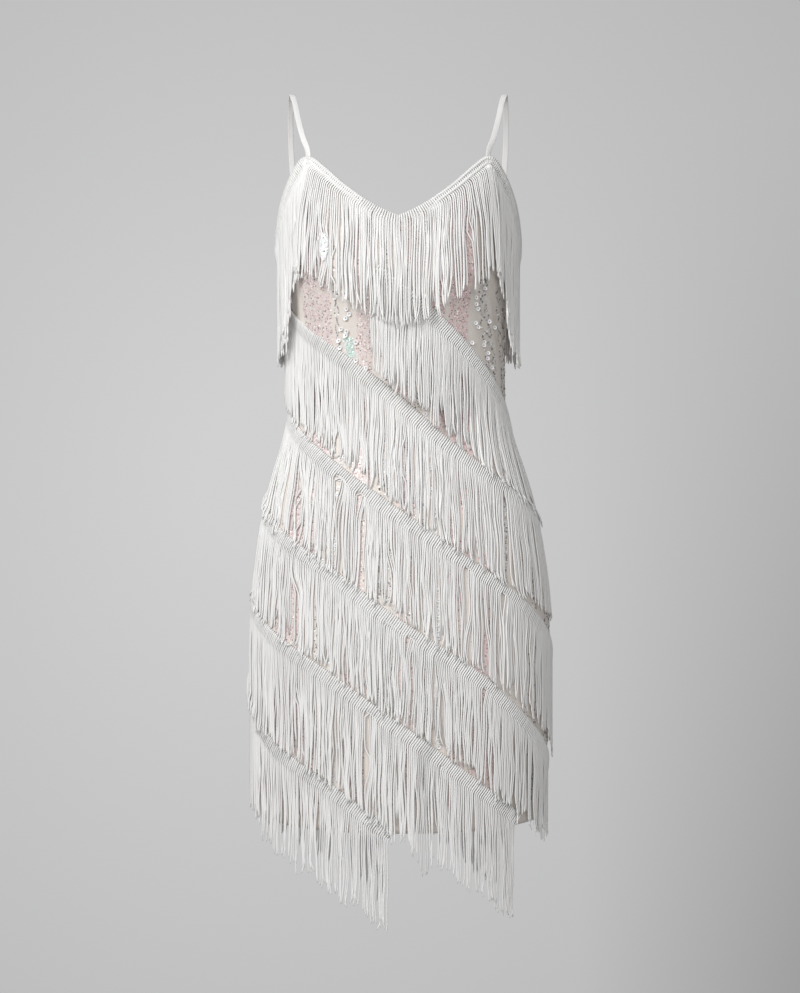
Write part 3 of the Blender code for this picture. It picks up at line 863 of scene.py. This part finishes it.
# Vertical stripes of the sequinned mesh: kind, first angle, last angle.
STRIPES = {
    "front": (
        ("line", -74.0, -70.0),
        ("pink", -56.0, -36.0),
        ("line", -35.0, -31.0),
        ("rings", -27.5, -27.0),
        ("pink", -22.0, -14.0),
        ("scroll", -9.0, -3.0),
        ("pink", -1.0, 6.0),
        ("line", 8.0, 11.0),
        ("rings", 13.5, 14.0),
        ("pink", 18.0, 24.0),
        ("pink", 27.0, 30.0),
        ("pink", 32.0, 38.5),
        ("scroll", 43.5, 49.5),
        ("scroll", 57.0, 70.0),
    ),
    "back": (
        ("scroll", -72.0, -66.0),
        ("pink", -58.0, -40.0),
        ("line", -37.0, -33.5),
        ("rings", -28.5, -28.0),
        ("pink", -22.0, -12.0),
        ("scroll", -8.0, -2.0),
        ("pink", 2.0, 9.0),
        ("line", 11.0, 14.0),
        ("rings", 17.5, 18.0),
        ("pink", 23.0, 37.0),
        ("scroll", 42.0, 49.0),
        ("pink", 56.0, 64.0),
        ("line", 68.0, 72.0),
    ),
}
# The darkest pink, (0.38, 0.28, 0.29), is painted shade: the small shadow lines between the tiny sequins.
PINKS = np.array(((0.92, 0.73, 0.73), (0.95, 0.82, 0.81), (0.68, 0.50, 0.52), (0.97, 0.91, 0.91), (0.38, 0.28, 0.29)))
# Among the silvers, the near-black (0.22, 0.20, 0.19) is painted shade and the brightest (0.90, 0.90, 0.89) a painted
# glint.
SILVERS = np.array(((0.78, 0.77, 0.75), (0.52, 0.50, 0.48), (0.90, 0.90, 0.89), (0.22, 0.20, 0.19), (0.84, 0.84, 0.87)))
MINTS = np.array(((0.70, 0.84, 0.77), (0.76, 0.87, 0.82), (0.60, 0.74, 0.68), (0.88, 0.93, 0.90)))
WHITES = np.array(((0.93, 0.93, 0.93), (0.94, 0.93, 0.91), (0.91, 0.93, 0.94), (0.94, 0.92, 0.94)))


def place(side, angle, z, off):
    if side == "front":  # the stripes lean outward toward the wearer's left side
        angle = angle + 15.0 * np.clip((angle - 40.0) / 6.0, 0, 1) * np.clip((-0.236 - z) / 0.080, 0, 1)
    top = edge_z(side, angle) - 0.006
    keep = (z < top) & (z > hem_z(angle) + 0.002) & (np.abs(angle) < 89)
    angle, z = angle[keep], z[keep]
    level, rate, down, normal = frames(side, angle, z)
    points = form(side, angle, z)
    points = points + normal * (crease_lift(side, angle, z, points) + off)[..., None]
    return points, level, down, normal, keep


# Ring sequins that lie singly in the two open windows of the front: x, z.
LOOSE_RINGS = (
    (-0.0578, -0.2410), (-0.0567, -0.2545), (-0.0578, -0.2645), (-0.0567, -0.2788), (-0.0578, -0.2832),
    (-0.0655, -0.2888), (-0.0643, -0.2966), (-0.0467, -0.2911), (-0.0467, -0.3110), (-0.0356, -0.3198),
    (-0.0602, -0.2355), (-0.0540, -0.2600), (-0.0630, -0.2760), (0.0859, -0.2408), (0.0854, -0.2685),
    (0.0884, -0.2729), (0.0817, -0.2906), (0.0950, -0.2928), (0.0954, -0.2890), (0.0994, -0.3072),
    (0.1045, -0.3172), (0.0958, -0.2300), (0.0880, -0.2530), (0.0860, -0.2480), (0.1000, -0.3010),
    (0.1010, -0.2660), (0.1070, -0.2720), (-0.0843, -0.2272),
)
WHITE_PATCH = (-0.0797, -0.1862, 0.0040, 0.0150)  # x, z, half width, half height


def white_patch():
    x, z, wide, high = WHITE_PATCH
    spread = RNG.uniform(-1, 1, (420, 2))
    spread = spread[np.sum(spread**2, 1) < 1]
    return np.stack([x + wide * spread[:, 0], z + high * spread[:, 1]], -1)


def loose(where, lift):
    grid = np.linspace(-89, 89, 357)
    angle = np.array([np.interp(x, form("front", grid, np.full(357, z))[:, 0], grid) for x, z in where])
    z = where[:, 1]
    level, rate, down, normal = frames("front", angle, z)
    points = form("front", angle, z)
    points = points + normal * (crease_lift("front", angle, z, points) + lift * MM)[..., None]
    normal = unit(normal + 0.55 * unit(np.array((-0.5, -0.8, 0.3))))
    level = unit(level - normal * np.sum(level * normal, -1, keepdims=True))
    down = unit(down - normal * np.sum(down * normal, -1, keepdims=True))
    return points, level, down, normal


# Fine strands of sequins in two of the partings: palette, x, top, bottom.
# The pink strand's palette is the pinks darkened to 0.62: painted shade deep in its parting.
STRANDS = ((SILVERS, 0.1196, -0.4640, -0.5780), (PINKS * 0.62, 0.0078, -0.4050, -0.4740))


def sequins(side):
    small, big = [], []
    rate = 0.0023  # metres per degree at the waist
    for kind, first, last in STRIPES[side]:
        if kind == "pink":
            columns = max(2, int(round((last - first) * rate / 0.00185)))
            rows = int(0.72 / 0.00195)
            a = np.linspace(first, last, columns)[None] + RNG.normal(0, 0.16, (rows, columns))
            z = -0.09 - (np.arange(rows)[:, None] + 0.5 * (np.arange(columns)[None] % 2)) * 0.00195 + RNG.normal(0, 0.00022, (rows, columns))
            a = a + 0.5 * np.sin(z * 31.0 + first)
            a, z = a.ravel(), z.ravel()
            keep = RNG.random(len(a)) < 0.93
            a, z = a[keep], z[keep]
            pts = place(side, a, z, 0.35 * MM)
            # Stripes past 15 degrees, toward the wearer's left and away from the key light, take more dark pinks and a
            # darker, redder cast: painted shade.
            tone = PINKS[RNG.choice(len(PINKS), len(pts[0]), p=(0.34, 0.28, 0.16, 0.12, 0.10) if first < 15 else (0.42, 0.16, 0.20, 0.06, 0.16))]
            if first > 15:
                tone = tone * np.array((1.06, 0.92, 0.96))
            small.append(discs(*pts[:4], RNG.uniform(0.80, 1.02, len(pts[0])) * MM, 0.30 if first > 15 else 0.18, 5, tone))
        elif kind in ("line", "scroll"):
            strands = 2 if kind == "line" else 3
            middle, half = 0.5 * (first + last), 0.5 * (last - first)
            for s in range(strands):
                rows = int(0.72 / 0.00155)
                z = -0.09 - np.arange(rows) * 0.00155
                wave = 34.0 if kind == "line" else 26.0
                phase = 2 * np.pi * s / strands
                a = middle + half * (0.85 if kind == "scroll" else 0.6) * np.sin(2 * np.pi * z * wave + phase + 0.9 * np.sin(z * 61.0))
                a = a + RNG.normal(0, 0.12, rows)
                pts = place(side, a, z, 0.35 * MM)
                # The silvers carry painted shade and painted glints.
                tone = SILVERS[RNG.choice(len(SILVERS), len(pts[0]), p=(0.22, 0.16, 0.26, 0.26, 0.10))]
                wide = 0.42 if kind == "scroll" else 0.0
                small.append(discs(*pts[:4], RNG.uniform(0.80 + wide, 1.0 + wide, len(pts[0])) * MM, 0.34, 6, tone))
            if kind == "scroll":
                rows = int(0.72 / 0.0125)
                z = -0.09 - np.arange(rows) * 0.0125 + RNG.normal(0, 0.0018, rows)
                a = middle + half * 0.7 * np.sin(2 * np.pi * z * 26.0) + RNG.normal(0, 0.5, rows)
                pts = place(side, a, z, 0.8 * MM)
                tone = WHITES[RNG.choice(len(WHITES), len(pts[0]))]
                big.append(rings(*pts[:4], np.full(len(pts[0]), 1.75 * MM), 0.5 * MM, 0.16, tone))
        else:
            rows = int(0.72 / 0.0052)
            z = -0.09 - np.arange(rows) * 0.0052 + RNG.normal(0, 0.0009, rows)
            a = np.full(rows, 0.5 * (first + last)) + RNG.normal(0, 0.45, rows)
            kept = RNG.random(rows) < 0.86
            if side == "front":
                kept &= (z > -0.22) | (z < -0.33)
            a, z = a[kept], z[kept]
            pts = place(side, a, z, 0.8 * MM)
            tone = WHITES[RNG.choice(len(WHITES), len(pts[0]))]
            big.append(rings(*pts[:4], np.full(len(pts[0]), 2.45 * MM), 0.6 * MM, 0.14, tone))
    # A loose patch of ring sequins beside the single file, mint green on the front.
    spots = {"front": ((-26.6, -0.286, MINTS), (-52.0, -0.182, WHITES)), "back": ((24.0, -0.300, MINTS),)}[side]
    for a0, z0, palette in spots[:1] if side == "front" else spots:
        count = 260
        z = z0 - 0.011 + RNG.uniform(-0.0115, 0.0115, count)
        a = a0 + 0.4 - (z - z0 + 0.011) * 60.0 + RNG.uniform(-2.6, 2.6, count)
        pts = place(side, a, z, 0.45 * MM)
        tone = palette[RNG.choice(len(palette), len(pts[0]))]
        small.append(discs(*pts[:4], RNG.uniform(0.8, 1.1, len(pts[0])) * MM, 0.22, 6, tone))
    if side == "front":
        pts = loose(white_patch(), 5.2)
        small.append(discs(*pts, RNG.uniform(0.9, 1.15, len(pts[0])) * MM, 0.16, 6, np.full((len(pts[0]), 3), 0.95)))
        for palette, x, top, bottom in STRANDS:
            for shift in (-0.0011, 0.0011):
                z = np.arange(top, bottom, -0.0019) + RNG.normal(0, 0.0002, len(np.arange(top, bottom, -0.0019)))
                pts = loose(np.stack([x + shift + 0.0005 * np.sin(z * 210.0), z], 1), 0.5)
                small.append(discs(*pts, RNG.uniform(0.85, 1.1, len(z)) * MM, 0.30, 6, palette[RNG.choice(len(palette), len(z))]))
        pts = loose(np.array(LOOSE_RINGS), 2.0)
        size = np.where(pts[0][:, 0] < 0, 2.6 * MM, 2.35 * MM)
        big.append(rings(*pts, size, 0.65 * MM, 0.10, WHITES[np.arange(len(size)) % len(WHITES)]))
    for a0, z0, palette in ((-52.0, -0.182, WHITES),) if side == "front" else ((24.0, -0.27, WHITES),):
        count = 5
        a = a0 + RNG.normal(0, 1.3, count)
        z = z0 + RNG.normal(0, 0.0062, count)
        pts = place(side, a, z, 1.3 * MM)
        tone = palette[RNG.choice(len(palette), len(pts[0]))]
        big.append(rings(*pts[:4], np.full(len(pts[0]), 2.3 * MM), 0.6 * MM, 0.30, tone))
    made = []
    for name, parts, mat in ((f"{side}_tiny_sequins", small, PINK), (f"{side}_ring_sequins", big, RING)):
        offset, verts, faces, tones = 0, [], [], []
        for v, f, t in parts:
            verts.append(v)
            faces.append(f + offset)
            tones.append(t)
            offset += len(v)
        width = {}
        for f in faces:
            width.setdefault(f.shape[1], []).append(f)
        obj = mesh_object(name, np.concatenate(verts), [np.concatenate(w) for w in width.values()], tone=np.concatenate(tones), smooth_shade=False)
        made.append(dress(obj, mat, "sequin_mesh"))
    return made


# ------------------------------------------------------------------ straps
STRAP_WIDTH, STRAP_WALL, STRAP_TUCK, STRAP_GAP = 0.0065, 0.0010, 0.010, 0.0007
STRAP_FRONT_ANGLE, STRAP_BACK_ANGLE = 49.4, 56.0
STRAP_LINE = (
    (0.1076, -0.0590, -0.0580),
    (0.1140, -0.0370, -0.0330),
    (0.1186, -0.0180, -0.0120),
    (0.1220, -0.0050, -0.0020),
    (0.1226, 0.0040, -0.0012),
    (0.1236, 0.0140, -0.0060),
    (0.1252, 0.0280, -0.0210),
    (0.1256, 0.0420, -0.0450),
    (0.1245, 0.0530, -0.0780),
    (0.1220, 0.0580, -0.1150),
    (0.1185, 0.0560, -0.1500),
)


def strap(name, hand):
    def inside(side, angle, up):
        z = float(edge_z(side, angle)) + up
        p = form(side, np.array(angle), np.array(min(z, float(edge_z(side, angle)))))
        out = level_out(side, np.array(angle), np.array(float(edge_z(side, angle)) - 0.001))
        p = p - out * (0.0012 + STRAP_GAP + STRAP_WALL / 2)
        p[2] = z
        return p

    line = [inside("front", STRAP_FRONT_ANGLE, -STRAP_TUCK), inside("front", STRAP_FRONT_ANGLE, 0.003)]
    line += [np.array(p) for p in STRAP_LINE]
    line += [inside("back", STRAP_BACK_ANGLE, 0.003), inside("back", STRAP_BACK_ANGLE, -STRAP_TUCK)]
    line = np.array(line)
    run = np.concatenate([[0], np.cumsum(np.linalg.norm(np.diff(line, axis=0), axis=1))])
    count = 90
    s = np.linspace(0, run[-1], count)
    path = np.stack([smooth(s, run, line[:, k]) for k in range(3)], -1)
    ahead = unit(np.gradient(path, axis=0))
    front_level = frames("front", np.array([STRAP_FRONT_ANGLE]), np.array([-0.095]))[0][0]
    back_level = frames("back", np.array([STRAP_BACK_ANGLE]), np.array([-0.19]))[0][0]
    front_level = front_level * np.sign(front_level[0])
    back_level = back_level * np.sign(back_level[0])
    share = s / run[-1]
    b = np.clip(1 - np.minimum(share, 1 - share) / 0.28, 0, 1)[:, None]
    b = b * b * (3 - 2 * b)
    end = np.where((share < 0.5)[:, None], front_level[None], back_level[None])
    across = unit(np.array((1.0, 0, 0))[None] * (1 - b) + end * b)
    across = unit(across - ahead * np.sum(across * ahead, -1, keepdims=True))
    face = np.cross(ahead, across)
    path[:, 0] *= hand
    across[:, 0] *= hand
    face[:, 0] *= hand
    # a rounded flat section: x across, y through the ribbon
    half, wall = STRAP_WIDTH / 2, STRAP_WALL / 2
    outline = np.array(
        [(-1, 0), (-0.96, 0.7), (-0.85, 1), (-0.45, 0.94), (0, 0.9), (0.45, 0.94), (0.85, 1), (0.96, 0.7), (1, 0), (0.96, -0.7), (0.85, -1), (0, -0.9), (-0.85, -1), (-0.96, -0.7)]
    ) * (half, wall)
    k = len(outline)
    verts = path[:, None] + across[:, None] * outline[None, :, 0:1] + face[:, None] * outline[None, :, 1:2]
    index = np.arange(count * k).reshape(count, k)
    nxt = np.roll(index, -1, axis=1)
    quads = np.stack([index[:-1], index[1:], nxt[1:], nxt[:-1]], -1).reshape(-1, 4)
    v = verts.reshape(-1, 3)
    caps = [index[0][None], index[-1][::-1][None]]
    mid = quads[len(quads) // 2]
    cross = np.cross(v[mid[1]] - v[mid[0]], v[mid[2]] - v[mid[0]])
    centre = path[(mid[0] // k)]
    if cross @ (v[mid[0]] - centre) < 0:
        quads = quads[:, ::-1]
        caps = [c[:, ::-1] for c in caps]
    u = np.linspace(0, 1, k + 1)
    rows = np.arange(count - 1)
    uv = np.zeros((len(quads), 4, 2))
    ring, col = np.divmod(np.arange(len(quads)), k)
    vv = s * 1000.0
    pts = {}
    uv[:, 0] = np.stack([u[col], vv[ring]], -1)
    uv[:, 1] = np.stack([u[col], vv[ring + 1]], -1)
    uv[:, 2] = np.stack([u[col + 1], vv[ring + 1]], -1)
    uv[:, 3] = np.stack([u[col + 1], vv[ring]], -1)
    if quads[0, 0] != index[0, 0]:
        uv = uv[:, ::-1]
    uv = np.concatenate([uv.reshape(-1, 2), np.zeros((2 * k, 2))])
    return mesh_object(name, v, [quads] + caps, uv)


# ------------------------------------------------------------------ build
def neck_width(side):
    if side == "back":
        return lambda angle: np.full(np.shape(angle), NECK_WIDTH)
    return lambda angle: np.interp(np.abs(angle), (0.0, 40.0, 90.0), (NECK_WIDTH, ARM_WIDTH, ARM_WIDTH))


counts = {}
for side in ("front", "back"):
    cloth = dress(panel(side), MESH, "sequin_mesh", f"body_{side}")
    on_it = list(sequins(side))
    jobs = [("top", side, (lambda a, side=side: edge_z(side, a)), neck_width(side), -90.0, 90.0, TOP_CORDS)]
    for name, first, last, length, heights in TRIMS:
        jobs.append((name, side, trim_z(heights), (lambda a: np.full(np.shape(a), HEADER_WIDTH)), first, last, length))
    for name, _, height, width, first, last, length in jobs:
        if name == "tier5":
            last = 55.5
        if name == "tier6" and side == "front":
            last = -2.2
        if name == "tier1" and side == "front":
            first = -9.5
        path, radius, tone = lay_cords(name, side, height, width, first, last, length)
        cords = tubes(f"{name}_cords_{side}", path, radius, 5, tone)
        path, radius, tone = lay_cords(name, side, height, width, first, last, length, under=True)
        # The under layer is toned 3% darker than the top cords: painted shade beneath them.
        lower = tubes(f"{name}_under_cords_{side}", path, radius, 4, tone * 0.97)
        counts[cords.name] = len(path)
        on_it.append(dress(lower, CORD, "cord"))
        dress(cords, CORD, "cord", f"{name}_fringe_{side}")
        band = band_strip(f"{name}_band_{side}", side, height, width, first, last, 0.5 * MM, 0.7 * MM, 0.04)
        dress(band, TAPE, "header", f"{name}_header_{side}")
        on_it += [cords, band]
        if name == "top":
            spans = ((-88.0, 88.0, (0.06, 0.36)),)
            if side == "front":
                spans = ((-51.0, -17.0, (0.14, 0.70)), (17.0, 51.0, (0.14, 0.70)), (-89.0, -47.0, (0.14,)), (47.0, 89.0, (0.14,)))
            on_it.append(dress(edge_rows(f"neck_rows_{side}", side, height, width, spans), CORD, "header"))

straps = [dress(strap("strap_left_ribbon", 1.0), STRAP, "strap", "strap_left"), dress(strap("strap_right_ribbon", -1.0), STRAP, "strap", "strap_right")]

# ------------------------------------------------------------------ stage, light, camera
bpy.ops.mesh.primitive_circle_add(vertices=96, radius=1.2, fill_type="NGON", location=(0, 0, -1.36))
floor = bpy.context.object
floor.name = "floor"
mat, tree, bsdf = nodes_of("pale_floor")
bsdf.inputs["Base Color"].default_value = (0.62, 0.62, 0.62, 1)
bsdf.inputs["Roughness"].default_value = 0.8
floor.data.materials.append(mat)

AMBIENT = 0.60
world = bpy.data.worlds.new("studio")
bpy.context.scene.world = world
world.use_nodes = True
tree = world.node_tree
back = tree.nodes["Background"]
coord = node(tree, "ShaderNodeTexCoord")
split = node(tree, "ShaderNodeSeparateXYZ")
link(tree, coord.outputs["Generated"], split.inputs[0])


def math_node(op, a, b=None):
    made = node(tree, "ShaderNodeMath", operation=op)
    for index, value in enumerate((a, b)):
        if value is None:
            continue
        if isinstance(value, float):
            made.inputs[index].default_value = value
        else:
            link(tree, value, made.inputs[index])
    return made.outputs[0]


dx = math_node("DIVIDE", math_node("ADD", split.outputs["X"], 0.055), 0.30)
dz = math_node("DIVIDE", math_node("ADD", split.outputs["Z"], -0.01), 0.34)
far = math_node("SQRT", math_node("ADD", math_node("MULTIPLY", dx, dx), math_node("MULTIPLY", dz, dz)))
ramp = node(tree, "ShaderNodeValToRGB")
ramp.color_ramp.elements[0].position = 0.10
ramp.color_ramp.elements[0].color = (0.635, 0.635, 0.635, 1)
ramp.color_ramp.elements[1].position = 0.95
ramp.color_ramp.elements[1].color = (0.475, 0.475, 0.477, 1)
link(tree, far, ramp.inputs["Fac"])
# The grey falls away at the right and low down.
side_fall = math_node("MULTIPLY", math_node("SUBTRACT", split.outputs["X"], 0.075), 10.0)
low_fall = math_node("MULTIPLY", math_node("SUBTRACT", 0.16, split.outputs["Z"]), 2.8)
for one in (side_fall, low_fall):
    one.node.use_clamp = True
fall = math_node("SUBTRACT", 1.0, math_node("MULTIPLY", math_node("MULTIPLY", side_fall, low_fall), 0.29))
grade = node(tree, "ShaderNodeMix", data_type="RGBA", blend_type="MULTIPLY")
grade.inputs["Factor"].default_value = 1.0
link(tree, ramp.outputs["Color"], grade.inputs["A"])
link(tree, fall, grade.inputs["B"])
link(tree, grade.outputs["Result"], back.inputs["Color"])
way = node(tree, "ShaderNodeLightPath")
shown = math_node("MULTIPLY", way.outputs["Is Camera Ray"], 1.0 - AMBIENT)
link(tree, math_node("ADD", shown, AMBIENT), back.inputs["Strength"])


def area_light(name, location, target, size, power, colour=(1, 1, 1)):
    data = bpy.data.lights.new(name, "AREA")
    data.shape = "RECTANGLE"
    data.size, data.size_y = size
    data.energy = power
    data.color = colour
    obj = bpy.data.objects.new(name, data)
    obj.location = location
    obj.rotation_mode = "QUATERNION"
    obj.rotation_quaternion = (Vector(target) - Vector(location)).to_track_quat("-Z", "Y")
    bpy.context.scene.collection.objects.link(obj)
    return obj


area_light("key", (-1.10, -1.70, 0.60), (0.0, 0.0, -0.36), (1.0, 1.0), 35.2)
area_light("front", (0.55, -2.55, 0.60), (0.0, 0.0, -0.4), (1.2, 0.9), 18.5)

camera = bpy.data.objects.new("camera", bpy.data.cameras.new("camera"))
bpy.context.scene.collection.objects.link(camera)
camera.location = (0.002, -2.7, -0.463)
camera.rotation_euler = (math.pi / 2, 0.0, 0.0)
camera.data.lens = 85.1
camera.data.sensor_width = 36.0
camera.data.sensor_fit = "AUTO"
camera.data.clip_start, camera.data.clip_end = 0.05, 50.0
bpy.context.scene.camera = camera
bpy.context.scene.view_settings.view_transform = "Standard"
bpy.context.scene.view_settings.look = "None"
bpy.context.scene.view_settings.exposure = 0.0
bpy.context.scene.view_settings.gamma = 1.0

tris = {o.name: sum(len(p.vertices) - 2 for p in o.data.polygons) for o in bpy.data.objects if o.type == "MESH" and o.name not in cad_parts}
print("cords", sum(counts.values()), "triangles", sum(tris.values()), "largest", max(tris.items(), key=lambda kv: kv[1]))
